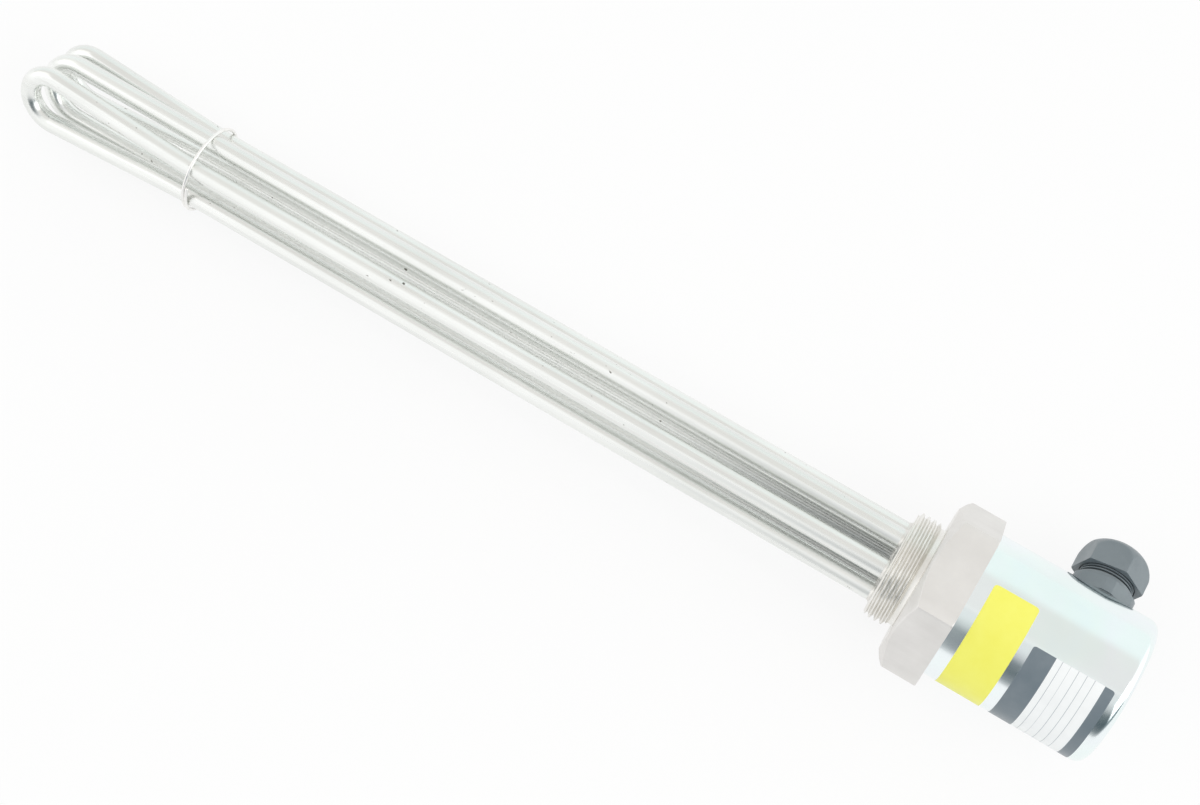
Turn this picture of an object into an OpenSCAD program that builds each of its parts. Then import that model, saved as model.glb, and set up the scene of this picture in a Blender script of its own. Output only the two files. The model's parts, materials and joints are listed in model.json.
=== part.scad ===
// Screw plug immersion heater: three tubular hairpins in a hexagon-headed screw plug,
// with a drawn terminal housing and a cable gland. Millimetres.
// The heater's axis is X, from the hairpin tips towards the housing. The origin is the centre of
// the hexagon's sealing face, and +Z is up when the heater lies on a flat of its hexagon.

/* [Screw plug] */
// Width across the flats of the hexagon
hex_af = 60; // [58:1:66]
// Thickness of the hexagon
hex_t = 17; // [14:0.5:22]
// Width of the hexagon's rim around the housing, at the flats
rim = 1.8; // [1.6:0.1:3]
// Outside diameter of the pipe thread
thread_d = 41.91; // [41.91:0.01:44]
// Length of the thread below the sealing face
thread_len = 11.3; // [9:0.1:16]
// Axial length of the lead-in at the start of the thread
thread_lead = 1.2; // [0.5:0.1:2]
// Length of the spigot that centres the housing
spigot_len = 6; // [4:0.5:8]

/* [Hairpins] */
// Outside diameter of the heating tube
tube_d = 7.5; // [6.5:0.1:8]
// Radius of the circle on which the six tube legs stand
leg_r = 12.45; // [12:0.05:13.5]
// Length from the sealing face to the tips of the hairpins
immersion = 385; // [250:1:600]
// Centreline radius of the round end of the two outer hairpins
bulb_r = 10.5; // [7.6:0.1:11]
// Distance of the middle and back tips behind the front one
tip_back = 2; // [0:0.5:6]
// Length over which the legs of the outer hairpins spread towards their round ends
spread_len = 62; // [40:1:90]
// Length of tube that stands above the spigot
leg_stand = 4; // [3:0.5:6]

/* [Binding hoop] */
// Distance of the wire hoop behind the place where the legs spread
hoop_back = 1; // [1:0.5:60]
// Diameter of the hoop's wire
hoop_wire = 1.3; // [1:0.1:2]

/* [Terminal housing] */
// Length of the housing over the hexagon
housing_len = 62.5; // [60:0.5:80]
// Sheet thickness of the housing
sheet = 1.2; // [0.8:0.1:1.4]
// Radius of the drawn edge at the closed end
end_r = 4; // [2:0.1:5]
// Depth of the dished seat of the housing screw
dish_depth = 4.5; // [4.2:0.1:6]

/* [Cable gland] */
// Distance of the gland's axis from the hexagon's back face
gland_dist = 41; // [36:0.5:42]
// Direction of the gland, from straight up towards +Y
gland_angle = 101; // [95:1:105]
// Width across the flats of the gland's hexagons, as a share of the screw plug's
gland_share = 0.39; // [0.38:0.01:0.4]
// Turn of the tightened dome nut about the gland's axis
nut_turn = 44; // [0:1:60]
// Pitch of the neck thread
neck_pitch = 1.2; // [1:0.1:1.5]

/* [Terminals] */
// Radius of the threaded end of a terminal pin
pin_r = 2; // [1.8:0.05:2.2]
// Length of the ceramic insulator on a tube end
bead_len = 6; // [5:0.5:8]
// Thickness of the terminal nuts
nut_t = 3.2; // [2.8:0.1:3.6]
// Width across the flats of the terminal nuts
nut_af = 7; // [6.8:0.1:7.4]

/* [Hidden] */
// Gap of a brazed, pressed or threaded joint that is drawn plain
joint_gap = 0.04;
// Gap of a part that drops in loosely
loose_gap = 0.2;
// Gap of a part that turns or slides
running_gap = 0.06;
// Smoothness of round faces, of the housing's drawn edge and of the dome nut's top
$fn = 64;
edge_steps = 8;
dome_steps = 10;
// Length by which a cut runs past the face that it opens, and by which joined shapes overlap
over = 1;

// Directions of the tube legs from straight up towards +Y, one per hexagon corner
leg_angles = [-30, -90, 30, -150, 90, 150];
// The hairpins lie in parallel planes that lean this far from the horizontal plane
plane_tilt = 60;
// Legs that the star link joins, one of each hairpin
star_angles = [-90, -150, 150];
line_angles = [-30, 30, 90];
// Directions of the link's two strips, between its three eyes
strip_angles = [120, 180];

tube_r = tube_d / 2;
outer_half_gap = leg_r * sin(30);
outer_plane = leg_r * cos(30);
// Stretches of tube stop this short of the ball that joins them, and the ball is this much larger
joint_short = 0.1;
ball_over = 0.03;
// Distances from the sealing face to where the legs spread and to the hoop
knee_dist = immersion - tip_back - bulb_r - tube_r - spread_len;
hoop_dist = knee_dist - hoop_back;

// Levels along the axis, behind the sealing face
spigot_x = hex_t + spigot_len;
leg_end = spigot_x + leg_stand;
bead_end = leg_end + bead_len;
base_nut_end = bead_end + nut_t;
link_t = 1;
link_end = base_nut_end + link_t;
top_nut_end = link_end + nut_t;
pin_stand = 3;
pin_end = top_nut_end + pin_stand;
housing_r = hex_af / 2 - rim;
housing_end = hex_t + housing_len;
dish_floor = housing_end - dish_depth;
pillar_end = dish_floor - sheet;

// Screw plug details
chamfer_in = 1.5;
chamfer_r = hex_af / 2 - chamfer_in;
hex_corner_r = hex_af / 2 / cos(30);
chamfer_rise = (hex_corner_r - chamfer_r) * tan(30);
back_chamfer = 0.6;
spigot_gap = 0.15;
spigot_r = housing_r - sheet - spigot_gap;
gasket_t = 1;
gasket_over = 0.4;
gasket_r = housing_r + gasket_over;

// Terminal details
shaft_step = 0.5;
shaft_r = pin_r - shaft_step;
shaft_depth = 12;
bead_over = 0.2;
bead_r = tube_r + bead_over;
bead_step = 0.9;
bead_collar_r = tube_r - bead_step;
washer_over = 1;
washer_r = nut_af / 2 + washer_over;
link_over = 0.9;
link_eye_r = nut_af / 2 + link_over;
link_inset = 0.4;
link_half_w = nut_af / 2 - link_inset;

// Earth screw, pillar and housing screw
earth_screw_r = 2;
earth_head_r = 3.5;
earth_head_t = 2.4;
earth_washer_r = 4;
earth_margin = 1.5;
earth_r = spigot_r - earth_washer_r - earth_margin;
earth_depth = 9;
earth_room = 1;
earth_washer_t = 1;
pillar_af = 9;
stud_r = 3;
stud_len = 8;
screw_r = 2.5;
screw_len = 16;
screw_room = 2;
screw_head_r = 4.6;
screw_head_t = 2.6;
screw_seal_t = 1;
screw_seal_r = 5.2;
dish_r = 9;
slot_w = 1.2;
slot_depth = 1.3;
head_sink = 0.5;

// Flat seat that is pressed into the round housing for the gland
gland_af = gland_share * hex_af;
gland_corner_r = gland_af / 2 / cos(30);
seat_margin = 1;
seat_half_w = gland_af / 2 + seat_margin;
seat_over = 1.5;
seat_reach = seat_half_w + seat_over;

// Gland levels along its own axis, from the heater's axis outwards
seat_z = sqrt(pow(housing_r, 2) - pow(seat_half_w, 2));
gland_gasket_t = 1;
gland_gasket_over = 0.4;
flange_z = seat_z + gland_gasket_t;
body_hex_t = 5.5;
collar_z = flange_z + body_hex_t;
collar_t = 1.6;
neck_z = collar_z + collar_t;
neck_bare = 3.3;
nut_z = neck_z + neck_bare;
neck_grip = 6.2;
neck_end = nut_z + neck_grip;
cage_len = 4.4;
cage_end = neck_end + cage_len;
ring_gap = 0.1;
ring_z = cage_end + ring_gap;
ring_t = 1;
dome_seat = ring_z + ring_t + ring_gap / 2;
dome_t = 0.9;
nut_end = dome_seat + dome_t;
seal_drop = 2;
seal_z = neck_z + seal_drop;
entry_len = 11;
entry_end = seat_z - entry_len;

// Gland radii, inwards from the flats of its hexagons
entry_step = 1.7;
entry_r = gland_af / 2 - entry_step;
neck_step = 1.5;
neck_r = gland_af / 2 - neck_step;
seal_step = 5.8;
seal_hole_r = gland_af / 2 - seal_step;
collar_step = 0.6;
collar_r = gland_af / 2 - collar_step;
body_round = 0.9;
body_round_r = gland_af / 2 + body_round;
thread_depth = 0.7;
// Shares of the pitch at which a ridge of the neck thread starts, is full, falls and ends
ridge_shares = [0.15, 0.35, 0.65, 0.85];
cage_step = 1.7;
cage_r = neck_r - cage_step;
cage_wall = 1.2;
cage_bore_r = cage_r - cage_wall;
cage_room = 0.4;
seal_r = cage_bore_r - running_gap;
body_bore_over = 0.5;
body_bore_r = seal_hole_r + body_bore_over;
ring_r = cage_r - cage_room;
ring_hole_over = 0.3;
dome_hole_over = 0.7;
dome_hole_r = seal_hole_r + dome_hole_over;
slits = 8;
slit_w = 0.8;
slit_start = 0.6;

// Locknut, whose round face bears on the inside of the flat
locknut_t = 5;
locknut_over = 1;
locknut_af = gland_af + locknut_over;
locknut_face_t = 1;
flat_half_w = sqrt(pow(housing_r - sheet, 2) - pow(seat_z - sheet, 2));
locknut_face_r = flat_half_w - loose_gap;

// Dome nut
nut_skirt = 4.5;
nut_chamfer = 1;
nut_base_step = 0.2;
dome_over = 0.5;
dome_in = 1;

// Placing helpers

// Turns a shape drawn along +Z so that it runs along the heater's axis
module along_x() {
    rotate([0, 90, 0]) rotate([0, 0, 180]) children();
}

// Turns children about the heater's axis, from straight up towards +Y
module turned(angle) {
    rotate([-angle, 0, 0]) children();
}

// Places a shape drawn along +Z on the axis of a tube leg, at a level behind the sealing face
module on_leg(angle, level) {
    turned(angle) translate([level, 0, leg_r]) along_x() children();
}

// Places a shape drawn along +Z on the gland's axis
module on_gland() {
    translate([hex_t + gland_dist, 0, 0]) turned(gland_angle) children();
}

// Places a shape drawn in the XY plane in the plane of a hairpin
module in_hairpin_plane(offset) {
    rotate([plane_tilt, 0, 0]) translate([0, 0, offset]) children();
}

// Shared shapes

module ring(r_out, r_in, t) {
    difference() {
        cylinder(r = r_out, h = t);
        translate([0, 0, -over]) cylinder(r = r_in, h = t + 2 * over);
    }
}

module hexagon(af, t) {
    cylinder(r = af / 2 / cos(30), h = t, $fn = 6);
}

module hex_nut(af, t, hole_r) {
    difference() {
        hexagon(af, t);
        translate([0, 0, -over]) cylinder(r = hole_r, h = t + 2 * over);
    }
}

// Screw plug: hexagon, threaded shank and housing spigot, bored for the tube legs

module hex_head() {
    intersection() {
        rotate([0, 0, 30]) hexagon(hex_af, hex_t);
        rotate_extrude() polygon([
            [0, 0], [chamfer_r, 0], [hex_corner_r + over, chamfer_rise + over * tan(30)],
            [hex_corner_r + over, hex_t - back_chamfer], [hex_corner_r - back_chamfer, hex_t], [0, hex_t]
        ]);
    }
}

module shank() {
    r = thread_d / 2;
    rotate_extrude() polygon([
        [0, -thread_len], [r - thread_lead, -thread_len], [r, thread_lead - thread_len],
        [r, over], [0, over]
    ]);
}

module screw_plug() {
    color("#d9d6d1") difference() {
        along_x() {
            hex_head();
            shank();
            cylinder(r = spigot_r, h = spigot_x);
        }
        for (a = leg_angles) on_leg(a, -thread_len - over)
            cylinder(r = tube_r + joint_gap, h = spigot_x + thread_len + 2 * over);
        translate([hex_t - gasket_t, 0, 0]) along_x() ring(gasket_r, spigot_r, gasket_t + over);
        translate([spigot_x - stud_len - over, 0, 0]) along_x()
            cylinder(r = stud_r + joint_gap, h = stud_len + 2 * over);
        translate([spigot_x - earth_depth, 0, earth_r]) along_x()
            cylinder(r = earth_screw_r + joint_gap, h = earth_depth + over);
    }
}

// Hairpins: swaged heating tubes, each bent from one length

module straight_leg(from_x, side) {
    translate([from_x, side, 0]) rotate([0, 90, 0]) cylinder(r = tube_r, h = leg_end - from_x);
}

module bend(centre, r, from_angle, sweep) {
    translate(centre) rotate([0, 0, from_angle]) rotate_extrude(angle = sweep)
        translate([r, 0]) circle(r = tube_r);
}

module pin_hole(side) {
    translate([leg_end - shaft_depth, side, 0]) rotate([0, 90, 0])
        cylinder(r = shaft_r + joint_gap, h = shaft_depth + over);
}

// Hairpin through the middle of the bundle, with a plain half-round end
module wide_hairpin() {
    centre_x = leg_r + tube_r + tip_back - immersion;
    difference() {
        union() {
            for (side = [-leg_r, leg_r]) straight_leg(centre_x, side);
            bend([centre_x, 0, 0], leg_r, 90, 180);
        }
        for (side = [-leg_r, leg_r]) pin_hole(side);
    }
}

// Ball that closes the joint between two stretches of tube that meet at a slight angle
module joint_ball(place) {
    translate(place) sphere(r = tube_r + ball_over);
}

// Outer hairpin, whose close legs spread from the hoop onwards into a wider round end
module bulb_hairpin(back) {
    centre_x = bulb_r + tube_r + back - immersion;
    knee_x = centre_x + spread_len;
    knee_far = norm([spread_len, outer_half_gap]);
    meet_angle = atan2(outer_half_gap, spread_len) + acos(bulb_r / knee_far);
    meet = [centre_x + bulb_r * cos(meet_angle), bulb_r * sin(meet_angle), 0];
    stretch = sqrt(pow(knee_far, 2) - pow(bulb_r, 2));
    short_angle = 2 * asin(joint_short / 2 / bulb_r);
    difference() {
        union() {
            for (side = [0, 1]) mirror([0, side, 0]) {
                straight_leg(knee_x + joint_short, outer_half_gap);
                joint_ball([knee_x, outer_half_gap, 0]);
                translate(meet) rotate([0, 0, meet_angle - 90]) rotate([0, 90, 0])
                    translate([0, 0, joint_short]) cylinder(r = tube_r, h = stretch - 2 * joint_short);
                joint_ball(meet);
            }
            bend([centre_x, 0, 0], bulb_r, meet_angle + short_angle, 360 - 2 * (meet_angle + short_angle));
        }
        for (side = [-outer_half_gap, outer_half_gap]) pin_hole(side);
    }
}

module hairpin_front() {
    color("#c3c7c4") in_hairpin_plane(outer_plane) bulb_hairpin(0);
}

module hairpin_middle() {
    color("#c3c7c4") in_hairpin_plane(0) wide_hairpin();
}

module hairpin_back() {
    color("#c3c7c4") in_hairpin_plane(-outer_plane) bulb_hairpin(tip_back);
}

// Wire hoop around the six legs
module binding_hoop() {
    color("#b9bcb8") translate([-hoop_dist, 0, 0]) along_x() rotate_extrude()
        translate([leg_r + tube_r + joint_gap + hoop_wire / 2, 0]) circle(r = hoop_wire / 2);
}

// Terminals: ceramic insulators, pins, nuts, washers and the star link

// Insulator that sits on the tube end, with a smaller collar under the nut
module end_insulator(i) {
    color("#e9e4d6") on_leg(leg_angles[i - 1], leg_end) difference() {
        union() {
            cylinder(r = bead_r, h = bead_len / 2);
            cylinder(r = bead_collar_r, h = bead_len);
        }
        translate([0, 0, -over]) cylinder(r = shaft_r + joint_gap, h = bead_len + 2 * over);
    }
}

// Pin with a slim shaft in the tube and a threaded end above the insulator
module terminal_pin(i) {
    color("#c8c9c4") on_leg(leg_angles[i - 1], leg_end - shaft_depth) {
        cylinder(r = shaft_r, h = shaft_depth + bead_len + over);
        translate([0, 0, shaft_depth + bead_len]) cylinder(r = pin_r, h = pin_end - bead_end);
    }
}

module terminal_base_nuts() {
    color("#c9b06a") for (a = leg_angles) on_leg(a, bead_end) hex_nut(nut_af, nut_t, pin_r + joint_gap);
}

module terminal_top_nuts() {
    color("#c9b06a") for (a = leg_angles) on_leg(a, link_end) hex_nut(nut_af, nut_t, pin_r + joint_gap);
}

module line_washers() {
    color("#c9b06a") for (a = line_angles) on_leg(a, base_nut_end) ring(washer_r, pin_r + joint_gap, link_t);
}

// Angled strip that joins one end of each hairpin, with an eye on each pin
module star_link() {
    color("#c08a55") translate([base_nut_end, 0, 0]) along_x() difference() {
        union() {
            for (a = star_angles) rotate([0, 0, -a]) translate([leg_r, 0, 0])
                cylinder(r = link_eye_r, h = link_t);
            for (a = strip_angles) rotate([0, 0, a])
                translate([leg_r * cos(30) - link_half_w, -leg_r / 2, 0])
                    cube([2 * link_half_w, leg_r, link_t]);
        }
        for (a = star_angles) rotate([0, 0, -a]) translate([leg_r, 0, -over])
            cylinder(r = pin_r + joint_gap, h = link_t + 2 * over);
    }
}

module slotted_head(r, t) {
    difference() {
        cylinder(r = r, h = t);
        translate([-slot_w / 2, -r - over, t - slot_depth])
            cube([slot_w, 2 * (r + over), slot_depth + over]);
    }
}

module earth_screw() {
    head_x = spigot_x + earth_washer_t;
    color("#d3d4cf") translate([0, 0, earth_r]) {
        translate([head_x, 0, 0]) along_x() slotted_head(earth_head_r, earth_head_t);
        translate([spigot_x - earth_depth + earth_room, 0, 0]) along_x()
            cylinder(r = earth_screw_r, h = earth_depth - earth_room + earth_washer_t + head_sink);
    }
}

module earth_washer() {
    color("#d3d4cf") translate([spigot_x, 0, earth_r]) along_x()
        ring(earth_washer_r, earth_screw_r + joint_gap, earth_washer_t);
}

// Housing support: a hexagonal pillar with a stud below and a tapped hole above
module support_pillar() {
    color("#cfcfca") difference() {
        union() {
            translate([spigot_x, 0, 0]) along_x() hexagon(pillar_af, pillar_end - spigot_x);
            translate([spigot_x - stud_len, 0, 0]) along_x() cylinder(r = stud_r, h = stud_len + over);
        }
        translate([pillar_end - screw_len, 0, 0]) along_x()
            cylinder(r = screw_r + joint_gap, h = screw_len + over);
    }
}

// Terminal housing: a round drawn cup with a flat seat for the gland and a dished screw seat

// Solid cup with a rounded edge around its closed end, less the pressed seat
module cup(from_x, inset) {
    r = housing_r - inset;
    end_x = housing_end - inset;
    edge = end_r - inset;
    difference() {
        along_x() rotate_extrude() polygon(concat(
            [[0, from_x], [r, from_x]],
            [for (i = [0:edge_steps], a = [90 * i / edge_steps])
                [r - edge * (1 - cos(a)), end_x - edge * (1 - sin(a))]],
            [[0, end_x]]
        ));
        on_gland() translate([-seat_reach - inset, -housing_r, seat_z - inset])
            cube([2 * (seat_reach + inset), 2 * housing_r, housing_r]);
    }
}

module terminal_housing() {
    color("#c9d6dc") difference() {
        union() {
            difference() {
                cup(hex_t, 0);
                cup(hex_t - over, sheet);
            }
            translate([pillar_end, 0, 0]) along_x() cylinder(r = dish_r + sheet, h = dish_depth + sheet / 2);
        }
        translate([dish_floor, 0, 0]) along_x() cylinder(r = dish_r, h = dish_depth + over);
        translate([pillar_end - over, 0, 0]) along_x()
            cylinder(r = screw_r + loose_gap, h = sheet + 2 * over);
        on_gland() translate([0, 0, seat_z - 2 * sheet]) cylinder(r = entry_r + loose_gap, h = 4 * sheet);
    }
}

// Flat gasket, let into the back face of the hexagon
module rim_gasket() {
    color("#3a3d3e") translate([hex_t - gasket_t, 0, 0]) along_x()
        ring(gasket_r - joint_gap, spigot_r + joint_gap, gasket_t);
}

module housing_screw() {
    seat = dish_floor + screw_seal_t;
    tip = pillar_end - screw_len + screw_room;
    color("#d3d4cf") {
        translate([seat, 0, 0]) along_x() slotted_head(screw_head_r, screw_head_t);
        translate([tip, 0, 0]) along_x() cylinder(r = screw_r, h = seat + head_sink - tip);
    }
}

module screw_seal() {
    color("#2f3132") translate([dish_floor, 0, 0]) along_x()
        ring(screw_seal_r, screw_r + joint_gap, screw_seal_t);
}

// Cable gland: body, gasket, locknut, seal, thrust ring and dome nut

module gland_gasket() {
    color("#33383d") on_gland() translate([0, 0, seat_z])
        ring(gland_af / 2 + gland_gasket_over, entry_r + loose_gap, gland_gasket_t);
}

// Ridges of the neck thread, from the collar to the cage
module neck_thread() {
    turns = floor((neck_end - neck_z) / neck_pitch);
    rotate_extrude() polygon(concat(
        [[0, neck_z - over], [neck_r - thread_depth, neck_z - over]],
        [for (i = [0:turns - 1], k = [0:3])
            [neck_r - (k == 0 || k == 3 ? thread_depth : 0), neck_z + (i + ridge_shares[k]) * neck_pitch]],
        [[neck_r - thread_depth, neck_end], [0, neck_end]]
    ));
}

module gland_body() {
    color("#3b434b") on_gland() difference() {
        union() {
            translate([0, 0, entry_end]) cylinder(r = entry_r, h = flange_z + over - entry_end);
            translate([0, 0, flange_z]) intersection() {
                rotate([0, 0, 30]) hexagon(gland_af, body_hex_t);
                cylinder(r = body_round_r, h = body_hex_t);
            }
            translate([0, 0, collar_z - over]) cylinder(r = collar_r, h = collar_t + over);
            neck_thread();
            translate([0, 0, neck_end - over]) cylinder(r = cage_r, h = cage_len + over);
        }
        translate([0, 0, entry_end - over]) cylinder(r = body_bore_r, h = cage_end);
        translate([0, 0, seal_z]) cylinder(r = cage_bore_r, h = cage_end);
        for (i = [0:slits - 1]) rotate([0, 0, 360 * (i + 0.5) / slits])
            translate([0, -slit_w / 2, neck_end + slit_start]) cube([2 * cage_r, slit_w, cage_end]);
    }
}

module gland_locknut() {
    color("#3b434b") on_gland() translate([0, 0, seat_z - sheet - locknut_t]) difference() {
        union() {
            hexagon(locknut_af, locknut_t - locknut_face_t);
            cylinder(r = locknut_face_r, h = locknut_t);
        }
        translate([0, 0, -over]) cylinder(r = entry_r + joint_gap, h = locknut_t + 2 * over);
    }
}

module gland_seal() {
    color("#26292b") on_gland() translate([0, 0, seal_z]) ring(seal_r, seal_hole_r, cage_end - seal_z);
}

module gland_thrust_ring() {
    color("#50585f") on_gland() translate([0, 0, ring_z]) ring(ring_r, seal_hole_r + ring_hole_over, ring_t);
}

// Dome nut: a hexagon whose corners run out into a rounded top, over a plain bore
module gland_nut() {
    shoulder_z = nut_z + nut_skirt;
    dome_rise = nut_end - shoulder_z + dome_over;
    top_r = dome_hole_r - dome_in;
    run_out = gland_corner_r - top_r;
    rise_end = asin((nut_end - shoulder_z) / dome_rise);
    color("#3b434b") on_gland() difference() {
        intersection() {
            translate([0, 0, nut_z]) rotate([0, 0, nut_turn]) hexagon(gland_af, nut_end - nut_z);
            rotate_extrude() polygon(concat(
                [[0, nut_z], [gland_af / 2 - nut_base_step, nut_z], [gland_corner_r, nut_z + nut_chamfer]],
                [for (i = [0:dome_steps], a = [rise_end * i / dome_steps])
                    [top_r + run_out * cos(a), shoulder_z + dome_rise * sin(a)]],
                [[0, nut_end]]
            ));
        }
        translate([0, 0, nut_z - over])
            cylinder(r = neck_r + running_gap, h = neck_grip + over + cage_room);
        translate([0, 0, neck_end]) cylinder(r = cage_r + cage_room, h = cage_end - neck_end);
        translate([0, 0, nut_z]) cylinder(r = ring_r + running_gap, h = dome_seat - nut_z);
        translate([0, 0, nut_z]) cylinder(r = dome_hole_r, h = nut_end);
    }
}

screw_plug();
hairpin_front();
hairpin_middle();
hairpin_back();
binding_hoop();
for (i = [1:6]) end_insulator(i);
for (i = [1:6]) terminal_pin(i);
terminal_base_nuts();
terminal_top_nuts();
line_washers();
star_link();
earth_screw();
earth_washer();
support_pillar();
rim_gasket();
terminal_housing();
housing_screw();
screw_seal();
gland_gasket();
gland_body();
gland_locknut();
gland_seal();
gland_thrust_ring();
gland_nut();
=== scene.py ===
"""Looks of a screw plug immersion heater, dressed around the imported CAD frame. Metres."""
import json
import math

import bmesh
import bpy
from mathutils import Matrix, Vector


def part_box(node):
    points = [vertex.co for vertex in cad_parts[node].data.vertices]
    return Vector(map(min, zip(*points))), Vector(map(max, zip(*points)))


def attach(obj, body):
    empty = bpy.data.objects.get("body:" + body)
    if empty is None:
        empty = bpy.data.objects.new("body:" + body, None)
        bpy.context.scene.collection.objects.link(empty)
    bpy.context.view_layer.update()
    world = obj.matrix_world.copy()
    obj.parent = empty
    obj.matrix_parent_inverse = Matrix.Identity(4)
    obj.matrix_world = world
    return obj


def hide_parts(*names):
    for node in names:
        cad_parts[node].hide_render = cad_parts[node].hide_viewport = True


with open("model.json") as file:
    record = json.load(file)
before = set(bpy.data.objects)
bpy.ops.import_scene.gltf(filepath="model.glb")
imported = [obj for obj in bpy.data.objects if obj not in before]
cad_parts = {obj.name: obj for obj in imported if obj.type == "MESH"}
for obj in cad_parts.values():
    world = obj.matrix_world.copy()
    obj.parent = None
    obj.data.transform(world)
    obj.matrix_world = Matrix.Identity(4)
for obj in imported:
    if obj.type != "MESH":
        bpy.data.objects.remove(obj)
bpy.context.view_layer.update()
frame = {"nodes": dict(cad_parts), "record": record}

MM = 0.001
INCH = 25.4 * MM
COS_30 = math.cos(math.radians(30))

# Driving sizes, read from the frame
PLUG_LOW, PLUG_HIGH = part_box("screw_plug")
HOUSING_LOW, HOUSING_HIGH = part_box("terminal_housing")
TUBE_LOW, TUBE_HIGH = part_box("hairpin_front")
MIDDLE_TIP_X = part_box("hairpin_middle")[0][0]
BACK_TIP_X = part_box("hairpin_back")[0][0]
HOOP_LOW, HOOP_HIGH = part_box("binding_hoop")
THREAD_MOUNT, GLAND_MOUNT = frame["record"]["mounts"]
HEX_HALF = PLUG_HIGH[2]
HEX_T = HOUSING_LOW[0]
SPIGOT_X = PLUG_HIGH[0]
SHANK_X = PLUG_LOW[0]
THREAD_R = THREAD_MOUNT["dims"]["r_mm"] * MM
FRONT_TIP_X = TUBE_LOW[0]
LEG_END = TUBE_HIGH[0]
HOOP_WIRE_R = (HOOP_HIGH[0] - HOOP_LOW[0]) / 2
HOOP_X = (HOOP_HIGH[0] + HOOP_LOW[0]) / 2
HOOP_R = HOOP_HIGH[2] - HOOP_WIRE_R
HOUSING_END = HOUSING_HIGH[0]
HOUSING_R = HOUSING_HIGH[2]
GLAND_DIR = Vector(GLAND_MOUNT["axis"]).normalized()
GLAND_X = GLAND_MOUNT["pos_m"][0]

# Driving sizes that no box or mount shows: the thread's pitch, and others as in the part's source
THREAD_PITCH = INCH / 11
JOINT_GAP = 0.04 * MM
TUBE_R = 3.75 * MM
LEGS, FIRST_LEG, LEG_STEP = 6, 30, 60
LEG_R = 12.45 * MM
BULB_R = 10.5 * MM
SPREAD_LEN = 62 * MM
SHEET = 1.2 * MM
EDGE_R = 4 * MM
DISH_R = 9 * MM
DISH_DEPTH = 4.5 * MM
SCREW_HOLE_R = 2.7 * MM
GLAND_HOLE_R = 10.2 * MM
GLAND_AF = 23.4 * MM
NECK_R = 10.2 * MM
NUT_TURN = math.radians(44)
SEAT_HALF_W = GLAND_AF / 2 + 1 * MM
SEAT_REACH = SEAT_HALF_W + 1.5 * MM
SEAT_Z = math.sqrt(HOUSING_R ** 2 - SEAT_HALF_W ** 2)

# Directions: along the heater, around the gland, and the hairpins' planes with the chord between two legs
X_AXIS = Vector((1, 0, 0))
GLAND_SIDE = X_AXIS.cross(GLAND_DIR)
GLAND_ROUND = GLAND_DIR.cross(X_AXIS)
CHORD = Vector((0, math.sin(math.radians(FIRST_LEG)), math.cos(math.radians(FIRST_LEG))))
PLANE_NORMAL = X_AXIS.cross(CHORD)

# Points around a ring of the lathe-like pieces, and of the housing
RING_POINTS, HOUSING_POINTS = 288, 360


# Mesh helpers

def mesh_object(name, verts, faces, body="heater"):
    """A new smooth mesh piece that rides on a body."""
    mesh = bpy.data.meshes.new(name)
    mesh.from_pydata([tuple(v) for v in verts], [], faces)
    mesh.validate()
    obj = bpy.data.objects.new(name, mesh)
    bpy.context.scene.collection.objects.link(obj)
    mesh.polygons.foreach_set("use_smooth", [True] * len(mesh.polygons))
    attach(obj, body)
    return obj


def loft(name, rings, body="heater", closed_loop=False, caps=False):
    """Quads between rings of equal length; the rings may close on themselves, or be capped."""
    count = len(rings[0])
    verts = [p for ring in rings for p in ring]
    faces = []
    steps = len(rings) if closed_loop else len(rings) - 1
    for i in range(steps):
        a, b = i * count, (i + 1) % len(rings) * count
        for j in range(count):
            k = (j + 1) % count
            faces.append((a + j, a + k, b + k, b + j))
    if caps:
        faces.append(tuple(range(count))[::-1])
        faces.append(tuple(range((len(rings) - 1) * count, len(rings) * count)))
    obj = mesh_object(name, verts, faces, body)
    face_outwards(obj)
    return obj


def face_outwards(obj):
    """Recalculates the normals of a closed mesh."""
    bm = bmesh.new()
    bm.from_mesh(obj.data)
    bmesh.ops.recalc_face_normals(bm, faces=bm.faces)
    bm.to_mesh(obj.data)
    bm.free()


def smooth_by_angle(obj, degrees):
    """Smooth shading with crisp edges above an angle."""
    obj.data.polygons.foreach_set("use_smooth", [True] * len(obj.data.polygons))
    obj.data.set_sharp_from_angle(angle=math.radians(degrees))


def cut_round_holes(obj, centres, direction, radius, depth):
    """Cuts round holes along one direction into a closed mesh; depth is the length of each cutter."""
    turn = direction.to_track_quat("Z", "Y").to_matrix().to_4x4()
    for centre in centres:
        bpy.ops.mesh.primitive_cylinder_add(vertices=96, radius=radius, depth=depth)
        cutter = bpy.context.object
        cutter.matrix_world = Matrix.Translation(centre) @ turn
        cut = obj.modifiers.new("hole", "BOOLEAN")
        cut.object = cutter
        cut.operation = "DIFFERENCE"
        bpy.context.view_layer.update()
        evaluated = obj.evaluated_get(bpy.context.evaluated_depsgraph_get())
        done = bpy.data.meshes.new_from_object(evaluated)
        obj.modifiers.clear()
        obj.data = done
        bpy.data.objects.remove(cutter)


def frange(start, end, steps):
    """steps + 1 even values from start to end."""
    return [start + (end - start) * i / steps for i in range(steps + 1)]


def smooth_step(value):
    """A value held between 0 and 1, with soft ends."""
    share = min(max(value, 0), 1)
    return share * share * (3 - 2 * share)


def soft_min(a, b, k):
    """The lower of two values, rounded over a width of k."""
    h = max(k - abs(a - b), 0) / k
    return min(a, b) - h * h * k / 4


def ring_of(point, radius, count):
    """Points of a ring, each placed by point(angle, radius); radius may be a function of the angle."""
    ring = []
    for j in range(count):
        a = 2 * math.pi * j / count
        ring.append(point(a, radius(a) if callable(radius) else radius))
    return ring


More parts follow.
